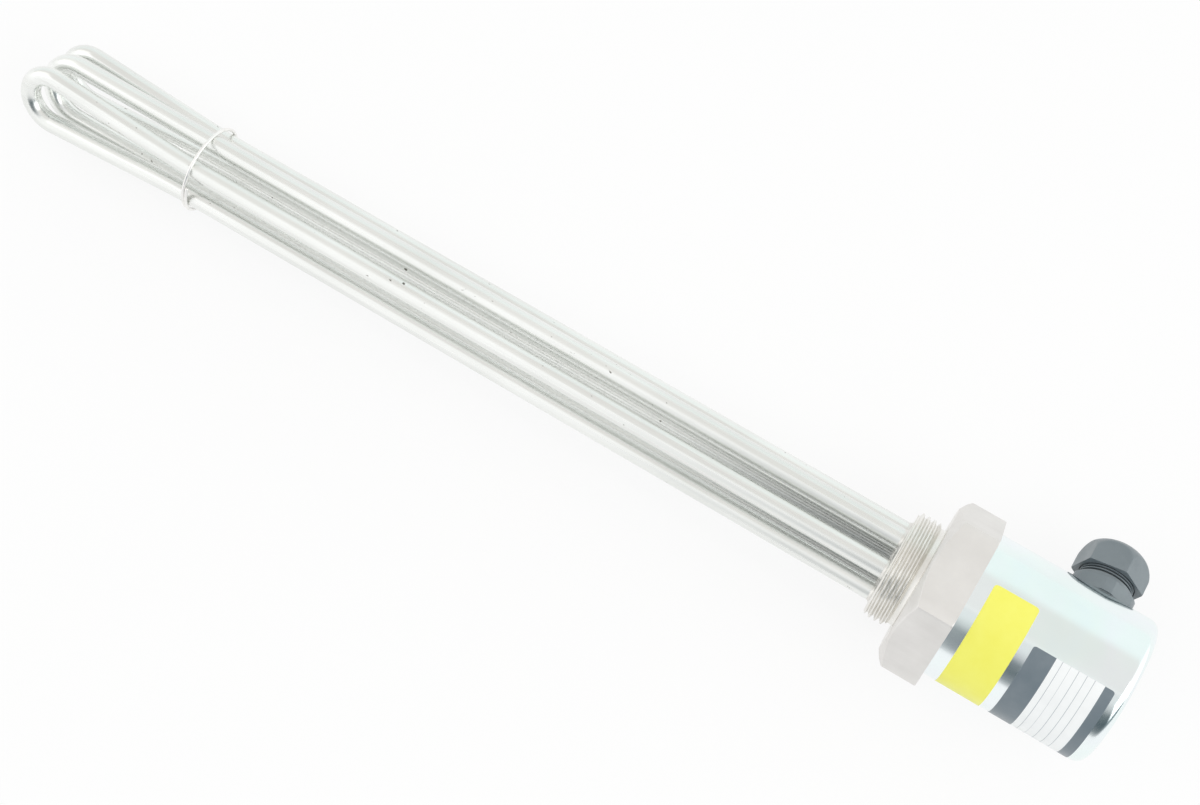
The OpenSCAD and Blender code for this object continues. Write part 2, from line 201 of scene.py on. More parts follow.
def axis_ring(x, radius):
    """Ring about the heater's axis; angle 0 points straight up."""
    return ring_of(lambda a, r: Vector((x, r * math.sin(a), r * math.cos(a))), radius, RING_POINTS)


def wire_ring(centre, side, normal, radius, sides):
    """Ring of a round wire or tube, across the plane of two directions."""
    return ring_of(lambda a, r: centre + r * (math.cos(a) * side + math.sin(a) * normal), radius, sides)


def around_axis(angle):
    """Direction out from the heater's axis, by the angle from straight up."""
    return Vector((0, math.sin(angle), math.cos(angle)))


def leg_centre(leg):
    """Place of one of the hairpin legs around the axis."""
    return around_axis(math.radians(FIRST_LEG + LEG_STEP * leg)) * LEG_R


def hexagon_radius(angle, half_flat, sharpness):
    """Radius of a hexagon with slightly rounded corners; a flat faces angle 0."""
    total = sum(max(math.cos(angle - k * math.pi / 3), 0) ** sharpness for k in range(6))
    return half_flat / total ** (1 / sharpness)


# Screw plug: hexagon with turned chamfers, relief groove and helical pipe thread

HEX_SHARPNESS = 160
CHAMFER_R = HEX_HALF * 0.95
CHAMFER_SLOPE = math.tan(math.radians(30))
CHAMFER_LEN, CHAMFER_ROUND = 4.2 * MM, 0.5 * MM
BACK_CHAMFER, BACK_SLOPE, BACK_LEN, BACK_ROUND = 0.5 * MM, 1.2, 0.9 * MM, 0.3 * MM
FLATS_X = (HEX_T - 2 * MM, 4.4 * MM)
RELIEF_LEN = 1.9 * MM
RELIEF_R = THREAD_R - 1.75 * MM
# The flat front face between the chamfer and the groove, and the groove's edge as (x, radius) pairs
FACE_R = (CHAMFER_R - 0.4 * MM, RELIEF_R + 0.5 * MM)
GROOVE_EDGE = ((-0.15 * MM, RELIEF_R + 0.1 * MM), (-0.5 * MM, RELIEF_R))
THREAD_X = (-RELIEF_LEN + 0.2 * MM, SHANK_X)
THREAD_DEPTH = 0.64 * THREAD_PITCH
# A swing over a half flattens the crests and roots
THREAD_SWING = 0.62
THREAD_ROUND = 0.3 * MM
LEAD_R, LEAD_SLOPE = THREAD_R - THREAD_DEPTH * 0.95, 1.15
RUN_OUT_SLOPE = 1.6
PLUG_EDGE = 0.4 * MM
SPIGOT_R = HOUSING_R - SHEET - 0.15 * MM
GASKET_R = HOUSING_R + 0.4 * MM
GASKET_T = 1 * MM
LEG_HOLE_OVER = 2 * MM
STUD_R, STUD_DEPTH = 3 * MM, 8 * MM
EARTH_R, EARTH_DEPTH = 2 * MM, 9 * MM
EARTH_Z = SPIGOT_R - 5.5 * MM


def head_radius(x):
    """Radius of the hexagon at a level, cut by the chamfers of both faces."""
    front = CHAMFER_R + max(x, 0) / CHAMFER_SLOPE
    back = HEX_HALF / COS_30 - BACK_CHAMFER + (HEX_T - x) * BACK_SLOPE

    def radius(a):
        chamfered = soft_min(hexagon_radius(a, HEX_HALF, HEX_SHARPNESS), front, CHAMFER_ROUND)
        return soft_min(chamfered, back, BACK_ROUND)
    return radius


def thread_radius(x):
    """Radius of the helical thread at a level, with its lead-in and its run-out into the relief groove."""
    lead = LEAD_R + (x - SHANK_X) * LEAD_SLOPE
    run_out = RELIEF_R + max(-RELIEF_LEN - x, 0) * RUN_OUT_SLOPE

    def radius(a):
        wave = 0.5 - THREAD_SWING * math.cos(2 * math.pi * x / THREAD_PITCH + a)
        thread = THREAD_R - THREAD_DEPTH * min(max(wave, 0), 1)
        return soft_min(soft_min(thread, lead, THREAD_ROUND), run_out, THREAD_ROUND)
    return radius


def make_plug():
    """The plug from its spigot to its thread, with holes for the legs, the stud and the earth screw."""
    gasket_x = HEX_T - GASKET_T
    rings = [axis_ring(SPIGOT_X, SPIGOT_R - PLUG_EDGE), axis_ring(SPIGOT_X - PLUG_EDGE, SPIGOT_R)]
    rings += [axis_ring(gasket_x, SPIGOT_R), axis_ring(gasket_x, GASKET_R), axis_ring(HEX_T, GASKET_R)]
    head = frange(HEX_T, HEX_T - BACK_LEN, 6) + frange(*FLATS_X, 4) + frange(CHAMFER_LEN, 0, 34)
    rings += [axis_ring(x, head_radius(x)) for x in head]
    rings += [axis_ring(0, r) for r in frange(*FACE_R, 5)]
    rings += [axis_ring(x, r) for x, r in GROOVE_EDGE]
    rings += [axis_ring(x, thread_radius(x)) for x in frange(*THREAD_X, 84)]
    rings += [axis_ring(SHANK_X, LEAD_R - PLUG_EDGE)]
    plug = loft("plug_detail", rings, caps=True)
    middle = X_AXIS * ((SPIGOT_X + SHANK_X) / 2)
    through = SPIGOT_X - SHANK_X + 2 * LEG_HOLE_OVER
    legs = [leg_centre(leg) + middle for leg in range(LEGS)]
    cut_round_holes(plug, legs, X_AXIS, TUBE_R + JOINT_GAP, through)
    # The cutter of a blind hole is centred on the spigot's end, so half of it is in the plug
    cut_round_holes(plug, [X_AXIS * SPIGOT_X], X_AXIS, STUD_R + JOINT_GAP, 2 * STUD_DEPTH)
    earth = Vector((SPIGOT_X, 0, EARTH_Z))
    cut_round_holes(plug, [earth], X_AXIS, EARTH_R + JOINT_GAP, 2 * EARTH_DEPTH)
    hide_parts("screw_plug")
    smooth_by_angle(plug, 40)
    return plug


# Hairpins: round tubes swept along a flat path

TUBE_SIDES = 48
KNEE_REACH, KNEE_STEPS = 12 * MM, 3
# How sharply a knee is rounded, per metre
KNEE_CURVE = 0.9
STRAIGHT_END = 4 * MM


def sweep(name, path, radius, normal):
    """Tube along a path that lies in one plane with this normal."""
    rings = []
    for i, p in enumerate(path):
        along = (path[min(i + 1, len(path) - 1)] - path[max(i - 1, 0)]).normalized()
        rings.append(wire_ring(p, normal.cross(along).normalized(), normal, radius, TUBE_SIDES))
    return loft(name, rings, caps=True)


def bulb_path(tip_x):
    """Half a path of an outer hairpin in its plane, as (along the axis, along the chord) pairs."""
    half_gap = LEG_R / 2
    centre = tip_x + BULB_R + TUBE_R
    knee = centre + SPREAD_LEN
    meet = math.atan2(half_gap, SPREAD_LEN) + math.acos(BULB_R / math.hypot(SPREAD_LEN, half_gap))
    meet_x, meet_c = centre + BULB_R * math.cos(meet), BULB_R * math.sin(meet)
    slope = (meet_c - half_gap) / (knee - meet_x)
    half = [(LEG_END, half_gap)]
    for step in (s for s in range(KNEE_STEPS, -KNEE_STEPS - 1, -1) if s != 0):
        past = KNEE_REACH * step / KNEE_STEPS
        rounding = KNEE_CURVE * (KNEE_REACH - abs(past)) ** 2
        half.append((knee + past, half_gap + slope * max(-past, 0) + rounding))
    half += [(meet_x, meet_c)]
    half += [(centre + BULB_R * math.cos(a), BULB_R * math.sin(a)) for a in frange(meet, math.pi, 24)[1:]]
    return half


def wide_path():
    """Half a path of the middle hairpin."""
    centre = MIDDLE_TIP_X + LEG_R + TUBE_R
    half = [(LEG_END, LEG_R), (centre + STRAIGHT_END, LEG_R)]
    turn = frange(math.pi / 2, math.pi, 28)
    half += [(centre + LEG_R * math.cos(a), LEG_R * math.sin(a)) for a in turn]
    return half


def make_hairpin(node, half, plane_offset):
    """One hairpin from half its path, in a plane at an offset from the axis."""
    whole = half + [(x, -c) for x, c in reversed(half[:-1])]
    base = PLANE_NORMAL * plane_offset
    path = [base + X_AXIS * x + CHORD * c for x, c in whole]
    tube = sweep(node + "_tube", path, TUBE_R, PLANE_NORMAL)
    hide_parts(node)
    smooth_by_angle(tube, 60)
    return tube


# Braze: a small concave fillet where each leg leaves the plug's front face

BRAZE_RISE, BRAZE_REACH, BRAZE_SUNK = 1.2 * MM, 1.3 * MM, 0.2 * MM
BRAZE_SIDES = 40


def make_braze():
    """The fillets of all legs as one piece, each a closed ring sunk slightly into plug and tube."""
    inner_r, back_x = TUBE_R - BRAZE_SUNK, SHANK_X + BRAZE_SUNK
    profile = [(inner_r, back_x), (TUBE_R + BRAZE_REACH, back_x)]
    profile += [(TUBE_R + BRAZE_REACH * (1 - math.sin(a)), SHANK_X - BRAZE_RISE * (1 - math.cos(a)))
                for a in frange(0, math.pi / 2, 8)]
    profile += [(inner_r, SHANK_X - BRAZE_RISE)]
    count = len(profile)
    verts, faces = [], []
    for leg in range(LEGS):
        centre = leg_centre(leg)
        first = len(verts)
        for j in range(BRAZE_SIDES):
            out = around_axis(2 * math.pi * j / BRAZE_SIDES)
            verts += [centre + out * r + X_AXIS * x for r, x in profile]
        for j in range(BRAZE_SIDES):
            here, there = first + j * count, first + (j + 1) % BRAZE_SIDES * count
            for i in range(count):
                n = (i + 1) % count
                faces.append((here + i, there + i, there + n, here + n))
    fillets = mesh_object("braze_fillets", verts, faces)
    face_outwards(fillets)
    smooth_by_angle(fillets, 50)
    return fillets


# Wire hoop: one length of wire wound a little more than once around the legs

HOOP_START, HOOP_OVERLAP = math.radians(-112), math.radians(58)
HOOP_STEPS, HOOP_SIDES = 150, 14
# The second turn lies beside the first: past this angle from its start the wire moves over, within the next
HOOP_SIDE_STEP = 2.1 * HOOP_WIRE_R
HOOP_MOVE_FROM, HOOP_MOVE_LEN = 2 * math.pi - HOOP_OVERLAP * 0.9, HOOP_OVERLAP * 1.9
HOOP_END_TAPER = 0.7


def make_hoop():
    """The wire from its start to its end, with slightly tapered tips."""
    rings = []
    for i in range(HOOP_STEPS + 1):
        turned = (2 * math.pi + HOOP_OVERLAP) * i / HOOP_STEPS
        shift = HOOP_SIDE_STEP * smooth_step((turned - HOOP_MOVE_FROM) / HOOP_MOVE_LEN)
        out = around_axis(HOOP_START + turned)
        centre = out * HOOP_R + X_AXIS * (HOOP_X + shift)
        taper = 1 if 0 < i < HOOP_STEPS else HOOP_END_TAPER
        rings.append(wire_ring(centre, out, X_AXIS, HOOP_WIRE_R * taper, HOOP_SIDES))
    hoop = loft("hoop_wire", rings, caps=True)
    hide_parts("binding_hoop")
    return hoop


# Terminal housing: a round drawn cup with a flat seat for the gland

SEAT_FADE, SEAT_ROUND = 1.2 * MM, 0.25 * MM
SEAT_SPAN = math.radians(60)
# Half the zone of close rings at each end of the seat, and where the wide rings start beyond it
FADE_HALF, PAST_FADE = 0.8 * MM, 2 * MM
DISH_ROUND = 0.7 * MM
END_FACE_R = (15 * MM, 20 * MM)
GLAND_CUT = 10 * MM


def seat_depth(x, inset):
    """Share of the seat's depth at a level along the axis: none outside it, all of it inside."""
    reach = SEAT_REACH + inset - abs(x - GLAND_X)
    return smooth_step(reach / SEAT_FADE + 0.5)


def housing_radius(x, angle, inset):
    """Radius of one skin of the housing; angle 0 faces the gland."""
    radius = HOUSING_R - inset
    angle = abs((angle + math.pi) % (2 * math.pi) - math.pi)
    if angle > SEAT_SPAN:
        return radius
    level = HOUSING_R + (SEAT_Z - HOUSING_R) * seat_depth(x, inset) - inset
    return soft_min(radius, level / math.cos(angle), SEAT_ROUND)


def housing_point(x, angle, radius):
    """A point by its place along the heater, its angle from the gland and its radius."""
    return X_AXIS * x + (GLAND_DIR * math.cos(angle) + GLAND_SIDE * math.sin(angle)) * radius


def housing_ring(x, radius):
    """Ring of the housing; angle 0 faces the gland."""
    return ring_of(lambda a, r: housing_point(x, a, r), radius, HOUSING_POINTS)


def outline_ring(x, inset):
    """Ring of the housing's side with the gland seat, drawn in by an inset."""
    return housing_ring(x, lambda a: housing_radius(x, a, inset))


def housing_side(inset, mouth):
    """Rings of one skin of the cup, from the edge of its flat end to its mouth."""
    edge_r = EDGE_R - inset
    end = HOUSING_END - inset
    rings = []
    for a in frange(0, math.pi / 2, 14):
        edge_x = end - edge_r * (1 - math.cos(a))
        rings.append(housing_ring(edge_x, HOUSING_R - inset - edge_r * (1 - math.sin(a))))
    high, low = GLAND_X + SEAT_REACH + inset, GLAND_X - SEAT_REACH - inset
    levels = frange(high + FADE_HALF, high - FADE_HALF, 10) + frange(high - PAST_FADE, low + PAST_FADE, 14)
    levels += frange(low + FADE_HALF, low - FADE_HALF, 10) + frange(low - PAST_FADE, mouth, 8)
    return rings + [outline_ring(x, inset) for x in levels]


def make_housing():
    """The cup: out from its dished screw seat, over its edge to the mouth, and back along the inside."""
    floor_x = HOUSING_END - DISH_DEPTH
    quarter = frange(0, math.pi / 2, 5)
    rings = [housing_ring(floor_x, r) for r in (SCREW_HOLE_R, DISH_R - DISH_ROUND)]
    for a in quarter[1:]:
        x = floor_x + DISH_ROUND * (1 - math.cos(a))
        rings.append(housing_ring(x, DISH_R - DISH_ROUND * (1 - math.sin(a))))
    for a in quarter:
        x = HOUSING_END - DISH_ROUND * (1 - math.sin(a))
        rings.append(housing_ring(x, DISH_R + DISH_ROUND * (1 - math.cos(a))))
    rings += [housing_ring(HOUSING_END, r) for r in END_FACE_R]
    rings += housing_side(0, HEX_T)
    rings += housing_side(SHEET, HEX_T)[::-1]
    inner_x, inner_r = floor_x - SHEET, DISH_R + SHEET
    rings += [housing_ring(HOUSING_END - SHEET, inner_r), housing_ring(inner_x, inner_r)]
    rings += [housing_ring(inner_x, SCREW_HOLE_R)]
    cup = loft("housing_cup", rings, closed_loop=True)
    seat_centre = X_AXIS * GLAND_X + GLAND_DIR * SEAT_Z
    cut_round_holes(cup, [seat_centre], GLAND_DIR, GLAND_HOLE_R, GLAND_CUT)
    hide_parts("terminal_housing")
    smooth_by_angle(cup, 50)
    return cup


# Sticker and plate: thin foils around the housing

FOIL_T, FOIL_LIFT = 0.12 * MM, 0.01 * MM
FOIL_ROWS, FOIL_COLUMNS = 220, 24
# Angles on the housing run from the gland, over the top and down the camera's side
STICKER_X = (HEX_T + 5.4 * MM, HEX_T + 22.5 * MM)
STICKER_START = math.radians(92.7)
STICKER_LEN, STICKER_CORNER = 57 * MM, 1.4 * MM
PLATE_X = (HEX_T + 26.5 * MM, HEX_T + 57.0 * MM)
PLATE_START = math.radians(117)
PLATE_LEN, PLATE_CORNER = 48 * MM, 1.0 * MM


def make_foil(name, span, start, length, corner):
    """A foil with rounded corners, from a starting angle around the housing for a length."""
    rings = []
    for i in range(FOIL_ROWS + 1):
        run = length * i / FOIL_ROWS
        a = start + run / HOUSING_R
        near = min(run, length - run)
        inset = corner - math.sqrt(max(corner ** 2 - max(corner - near, 0) ** 2, 0))
        row = frange(span[0] + inset, span[1] - inset, FOIL_COLUMNS)
        top = [housing_point(x, a, HOUSING_R + FOIL_T) for x in row]
        low = [housing_point(x, a, HOUSING_R + FOIL_LIFT) for x in reversed(row)]
        rings.append(top + low)
    foil = loft(name, rings, caps=True)
    smooth_by_angle(foil, 40)
    return foil


# Gland dome nut: a moulded hexagon that runs out into a rounded top

NUT_SHARPNESS = 420
NUT_Z = SEAT_Z + 11.4 * MM
NUT_SHOULDER_Z, NUT_END_Z = NUT_Z + 4.5 * MM, NUT_Z + 12.65 * MM
NUT_CHAMFER, NUT_CHAMFER_SLOPE, NUT_CHAMFER_ROUND = 0.3 * MM, 1.2, 0.15 * MM
NUT_BORE_R, NUT_BORE_END, NUT_BORE_EDGE = 10.26 * MM, NUT_Z + 6.6 * MM, 0.3 * MM
CAGE_ROOM_R, CAGE_ROOM_END = 8.9 * MM, NUT_Z + 10.6 * MM
RING_ROOM_R, DOME_SEAT_Z = 8.16 * MM, NUT_Z + 11.75 * MM
DOME_HOLE_R, DOME_HOLE_EDGE = 6.6 * MM, 0.35 * MM
# The dome's curve would end this far above the nut's flat top, at this radius
DOME_OVER, DOME_TOP_R = 0.5 * MM, DOME_HOLE_R - 1 * MM
DOME_ROUND, DOME_LIP, DOME_LIP_RISE = 0.3 * MM, 0.3 * MM, 0.08 * MM


def gland_ring(z, radius):
    """Ring about the gland's axis; angle 0 points along the heater's axis."""
    base = X_AXIS * GLAND_X + GLAND_DIR * z
    return ring_of(lambda a, r: base + r * (math.cos(a) * X_AXIS + math.sin(a) * GLAND_ROUND),
                   radius, RING_POINTS)


def nut_radius(z):
    """Outside of the dome nut at a level: the hexagon, its base chamfer and its dome."""
    corner_r = GLAND_AF / 2 / COS_30
    rise = min(max((z - NUT_SHOULDER_Z) / (NUT_END_Z + DOME_OVER - NUT_SHOULDER_Z), 0), 1)
    dome = DOME_TOP_R + (corner_r - DOME_TOP_R) * math.sqrt(1 - rise * rise)
    base = corner_r - NUT_CHAMFER + (z - NUT_Z) * NUT_CHAMFER_SLOPE

    def radius(a):
        hexagon = hexagon_radius(a + math.radians(30) - NUT_TURN, GLAND_AF / 2, NUT_SHARPNESS)
        return soft_min(soft_min(hexagon, dome, DOME_ROUND), base, NUT_CHAMFER_ROUND)
    return radius


def make_gland_nut():
    """The nut's shell: up its outside, over the dome, and down through its hole, rooms and bore."""
    dome_end = NUT_END_Z - DOME_LIP
    top_r = nut_radius(dome_end)(NUT_TURN)
    levels = frange(NUT_Z, NUT_Z + 0.6 * MM, 6) + frange(NUT_Z + 0.9 * MM, NUT_Z + 1.6 * MM, 2)
    levels += frange(NUT_Z + 2 * MM, dome_end, 44)
    rings = [gland_ring(NUT_Z, NUT_BORE_R + NUT_BORE_EDGE)]
    rings += [gland_ring(z, nut_radius(z)) for z in levels]
    inside = (
        (NUT_END_Z - DOME_LIP_RISE, top_r - DOME_LIP), (NUT_END_Z, top_r - 2 * DOME_LIP),
        (NUT_END_Z, DOME_HOLE_R + DOME_HOLE_EDGE), (NUT_END_Z - DOME_HOLE_EDGE, DOME_HOLE_R),
        (DOME_SEAT_Z, DOME_HOLE_R), (DOME_SEAT_Z, RING_ROOM_R),
        (CAGE_ROOM_END, RING_ROOM_R), (CAGE_ROOM_END, CAGE_ROOM_R),
        (NUT_BORE_END, CAGE_ROOM_R), (NUT_BORE_END, NUT_BORE_R),
        (NUT_Z + NUT_BORE_EDGE, NUT_BORE_R),
    )
    rings += [gland_ring(z, r) for z, r in inside]
    nut = loft("gland_nut_shell", rings, body="dome_nut", closed_loop=True)
    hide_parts("gland_nut")
    smooth_by_angle(nut, 20)
    return nut


# Node helpers

def join(tree, target, value):
    """Links a socket to an input, or sets the input to a value."""
    if isinstance(value, bpy.types.NodeSocket):
        tree.links.new(value, target)
    else:
        target.default_value = value


def with_alpha(tone):
    """A tone as a full colour: one number is a grey, and a socket stays as it is."""
    if isinstance(tone, bpy.types.NodeSocket):
        return tone
    return (*tone, 1) if isinstance(tone, tuple) else (tone, tone, tone, 1)


def math_node(tree, operation, first, second):
    """Result of a calculation with two sockets or numbers."""
    node = tree.nodes.new("ShaderNodeMath")
    node.operation = operation
    join(tree, node.inputs[0], first)
    join(tree, node.inputs[1], second)
    return node.outputs["Value"]


def map_range(tree, value, low, high, to=(0, 1), smooth=True):
    """A value's run from low to high, as a run between two other values."""
    node = tree.nodes.new("ShaderNodeMapRange")
    node.interpolation_type = "SMOOTHSTEP" if smooth else "LINEAR"
    node.inputs["From Min"].default_value = low
    node.inputs["From Max"].default_value = high
    node.inputs["To Min"].default_value = to[0]
    node.inputs["To Max"].default_value = to[1]
    tree.links.new(value, node.inputs["Value"])
    return node.outputs["Result"]


def colour_ramp(tree, value, stops, interpolation="LINEAR"):
    """Colour ramp; stops are (place, tone) pairs."""
    node = tree.nodes.new("ShaderNodeValToRGB")
    node.color_ramp.interpolation = interpolation
    elements = node.color_ramp.elements
    while len(elements) < len(stops):
        elements.new(0.5)
    for element, (place, tone) in zip(elements, stops):
        element.position = place
        element.color = with_alpha(tone)
    tree.links.new(value, node.inputs["Fac"])
    return node.outputs["Color"]


def mix_colours(tree, factor, first, second, blend="MIX"):
    """Mix of two tones; each may be a socket."""
    node = tree.nodes.new("ShaderNodeMix")
    node.data_type = "RGBA"
    node.blend_type = blend
    sockets = {socket.identifier: socket for socket in node.inputs}
    join(tree, sockets["Factor_Float"], factor)
    join(tree, sockets["A_Color"], with_alpha(first))
    join(tree, sockets["B_Color"], with_alpha(second))
    return next(socket for socket in node.outputs if socket.identifier == "Result_Color")


class Shader:
    """A node material with short calls for the textures used here."""

    def __init__(self, name, colour, metallic, roughness, specular=0.5):
        self.material = bpy.data.materials.new(name)
        self.material.use_nodes = True
        self.tree = self.material.node_tree
        self.bsdf = self.tree.nodes["Principled BSDF"]
        self.bsdf.inputs["Base Color"].default_value = (*colour, 1)
        self.bsdf.inputs["Metallic"].default_value = metallic
        self.bsdf.inputs["Roughness"].default_value = roughness
        self.bsdf.inputs["Specular IOR Level"].default_value = specular
        self.coords = self.tree.nodes.new("ShaderNodeTexCoord").outputs["Object"]

    def noise(self, scale, stretch=(1, 1, 1), detail=4.0):
        """Noise in the object's own space, stretched along its axes."""
        mapping = self.tree.nodes.new("ShaderNodeMapping")
        mapping.inputs["Scale"].default_value = stretch
        self.tree.links.new(self.coords, mapping.inputs["Vector"])
        texture = self.tree.nodes.new("ShaderNodeTexNoise")
        texture.inputs["Scale"].default_value = scale
        texture.inputs["Detail"].default_value = detail
        texture.inputs["Roughness"].default_value = 0.55
        self.tree.links.new(mapping.outputs["Vector"], texture.inputs["Vector"])
        return texture.outputs["Fac"]

    def ramp(self, value, stops, interpolation="LINEAR"):
        return colour_ramp(self.tree, value, stops, interpolation)

    def between(self, value, low, high):
        """Two tones or levels, blended over the middle of a noise's range."""
        return self.ramp(value, [(0.3, low), (0.7, high)])

    def mix(self, factor, first, second, blend="MIX"):
        return mix_colours(self.tree, factor, first, second, blend)

    def reach(self, value, low, high):
        """0 to 1 as a value runs from low to high, with soft ends."""
        return map_range(self.tree, value, low, high)

    def vector_math(self, operation, first, second=None):
        """Outputs of a vector node; the inputs may be sockets or vectors."""
        node = self.tree.nodes.new("ShaderNodeVectorMath")
        node.operation = operation
        join(self.tree, node.inputs[0], first)
        if second is not None:
            join(self.tree, node.inputs[1], second)
        return node.outputs

    def bump(self, height, strength, distance):
        """Fine relief, on top of any that is there."""
        node = self.tree.nodes.new("ShaderNodeBump")
        node.inputs["Strength"].default_value = strength
        node.inputs["Distance"].default_value = distance
        normal = self.bsdf.inputs["Normal"]
        if normal.is_linked:
            self.tree.links.new(normal.links[0].from_socket, node.inputs["Normal"])
        self.tree.links.new(height, node.inputs["Height"])
        self.tree.links.new(node.outputs["Normal"], normal)

    def set(self, socket, output):
        self.tree.links.new(output, self.bsdf.inputs[socket])


# Materials

# The tubes' inner sides get painted shade from the first distance inside the legs' circle to the second
TUBE_SHADE_FROM, TUBE_SHADE_FULL = LEG_R - 1.7 * MM, LEG_R - 3.4 * MM
# Towards the plug the painted shade gets darker over this length
TUBE_SHADE_RUN = 110 * MM
# Where the ridges of the gland's neck start, and the depths between which a groove gets painted shade
RIDGES_Z = (NUT_Z - 3.4 * MM, NUT_Z - 3.2 * MM)
GROOVE_SHADE_R = (NECK_R - 0.08 * MM, NECK_R - 0.55 * MM)
DARK_INK = (0.155, 0.195, 0.225)
PALE_INK = (0.93, 0.95, 0.955)
LINE_INK = (0.50, 0.54, 0.56)
# Shares of the plate's width: where its first dark band ends, the second starts, and the ruled lines are
FIRST_BAND_END, SECOND_BAND = 0.275, 0.875
RULED_LINES, LINE_W = (0.35, 0.45, 0.55, 0.65, 0.75), 0.007


def tube_steel():
    """Bright annealed stainless tube, with drawing lines and a few dark specks, and painted shade on the
    sides towards the axis, darker towards the plug.
    """
    s = Shader("tube_steel", (0.76, 0.775, 0.75), 1.0, 0.26)
    lines = s.noise(260, (0.02, 1, 1), 3)
    clouds = s.noise(38, (0.4, 1, 1), 4)
    specks = s.ramp(s.noise(520, (0.7, 1, 1), 2), [(0.0, 0.0), (0.735, 0.0), (0.77, 1.0)])
    tone = s.between(clouds, (0.84, 0.855, 0.83), (0.93, 0.94, 0.92))
    tone = s.mix(1.0, tone, s.ramp(lines, [(0.35, 0.93), (0.6, 1.0)]), "MULTIPLY")
    across = s.vector_math("MULTIPLY", s.coords, (0, 1, 1))["Vector"]
    from_axis = s.vector_math("LENGTH", across)["Value"]
    along = s.vector_math("DOT_PRODUCT", s.coords, X_AXIS)["Value"]
    # Painted shade: a darker tone on the tubes' inner sides, darker still towards the plug
    near_plug = s.reach(along, SHANK_X - TUBE_SHADE_RUN, SHANK_X)
    painted_shade = s.mix(near_plug, (0.92, 0.93, 0.91), (0.52, 0.535, 0.525))
    tone = s.mix(s.reach(from_axis, TUBE_SHADE_FROM, TUBE_SHADE_FULL), tone, painted_shade)
    s.set("Base Color", s.mix(specks, tone, (0.16, 0.15, 0.13)))
    s.set("Roughness", s.between(lines, 0.20, 0.36))
    s.bump(lines, 0.12, 0.05 * MM)
    return s.material


def plug_steel():
    """Satin hexagon stock, with faint drawing lines along the flats."""
    s = Shader("plug_steel", (0.92, 0.91, 0.90), 1.0, 0.5)
    lines = s.noise(420, (0.05, 1, 1), 3)
    s.set("Base Color", s.between(s.noise(70, detail=5), (0.77, 0.755, 0.735), (0.84, 0.825, 0.805)))
    s.set("Roughness", s.between(lines, 0.44, 0.58))
    s.bump(lines, 0.12, 0.05 * MM)
    s.bump(s.noise(1500, detail=2), 0.06, 0.03 * MM)
    return s.material


def thread_steel():
    """Freshly cut thread and turned faces, brighter than the flats."""
    s = Shader("thread_steel", (0.86, 0.85, 0.82), 1.0, 0.24)
    turning = s.noise(420, (3, 0.15, 0.15), 2)
    s.set("Roughness", s.between(turning, 0.24, 0.36))
    s.set("Base Color", s.between(s.noise(90), (0.80, 0.785, 0.745), (0.90, 0.89, 0.86)))
    s.bump(turning, 0.05, 0.04 * MM)
    return s.material


def braze_metal():
    """Silver braze, a little uneven."""
    s = Shader("braze_metal", (0.80, 0.785, 0.75), 1.0, 0.36)
    s.set("Base Color", s.between(s.noise(260), (0.74, 0.725, 0.69), (0.84, 0.83, 0.80)))
    s.set("Roughness", s.between(s.noise(500), 0.28, 0.46))
    s.bump(s.noise(420), 0.25, 0.08 * MM)
    return s.material


def zinc():
    """Blue-passivated zinc on drawn sheet: cloudy blue-grey with faint colour play."""
    s = Shader("zinc", (0.74, 0.80, 0.84), 1.0, 0.14)
    clouds = s.noise(55, (0.6, 1, 1), 6)
    drift = s.noise(24, detail=3)
    streaks = s.noise(330, (0.06, 1, 1), 3)
    tint = s.ramp(drift, [
        (0.30, (0.85, 0.95, 0.97)), (0.45, (0.88, 0.97, 0.955)),
        (0.58, (0.91, 0.96, 0.98)), (0.72, (0.90, 0.98, 0.97)),
    ])
    s.set("Base Color", s.mix(1.0, tint, s.between(clouds, 0.95, 1.0), "MULTIPLY"))
    s.set("Roughness", s.between(clouds, 0.11, 0.2))
    s.bump(streaks, 0.09, 0.05 * MM)
    s.bump(s.noise(160, detail=3), 0.09, 0.06 * MM)
    return s.material


def polyamide(name):
    """Moulded slate-grey plastic with a fine spark grain, and its tone, which is still to be set."""
    s = Shader(name, (0.22, 0.26, 0.285), 0.0, 0.36, specular=0.9)
    s.set("Roughness", s.between(s.noise(180), 0.30, 0.44))
    s.bump(s.noise(2600, detail=2), 0.22, 0.05 * MM)
    return s, s.between(s.noise(120), (0.155, 0.188, 0.209), (0.190, 0.225, 0.246))


def gland_plastic():
    """The gland's plain plastic."""
    s, tone = polyamide("gland_plastic")
    s.set("Base Color", tone)
    return s.material


def gland_body_plastic():
    """The same plastic, with painted shade in the grooves of the neck thread."""
    s, tone = polyamide("gland_body_plastic")
    place = s.vector_math("SUBTRACT", s.coords, X_AXIS * GLAND_X)["Vector"]
    along = s.vector_math("DOT_PRODUCT", place, GLAND_DIR)["Value"]
    across = s.vector_math("CROSS_PRODUCT", place, GLAND_DIR)["Vector"]
    from_axis = s.vector_math("LENGTH", across)["Value"]
    # Painted shade: the neck's grooves get a near-black tone
    groove = s.mix(s.reach(along, *RIDGES_Z), (0, 0, 0), s.reach(from_axis, *GROOVE_SHADE_R))
    s.set("Base Color", s.mix(groove, tone, (0.045, 0.055, 0.062)))
    return s.material


def soft_rubber(name, colour, roughness, low, high):
    """Moulded rubber between two tones."""
    s = Shader(name, colour, 0.0, roughness)
    s.set("Base Color", s.between(s.noise(200), low, high))
    s.bump(s.noise(1800), 0.2, 0.05 * MM)
    return s.material


def grey_rubber():
    """Paler flat rubber under the gland."""
    return soft_rubber("grey_rubber", (0.16, 0.185, 0.20), 0.6, (0.145, 0.17, 0.185), (0.175, 0.20, 0.215))


def rubber():
    """Black rubber of the other gaskets and seals."""
    return soft_rubber("rubber", (0.022, 0.023, 0.024), 0.68, (0.018, 0.019, 0.020), (0.030, 0.031, 0.032))


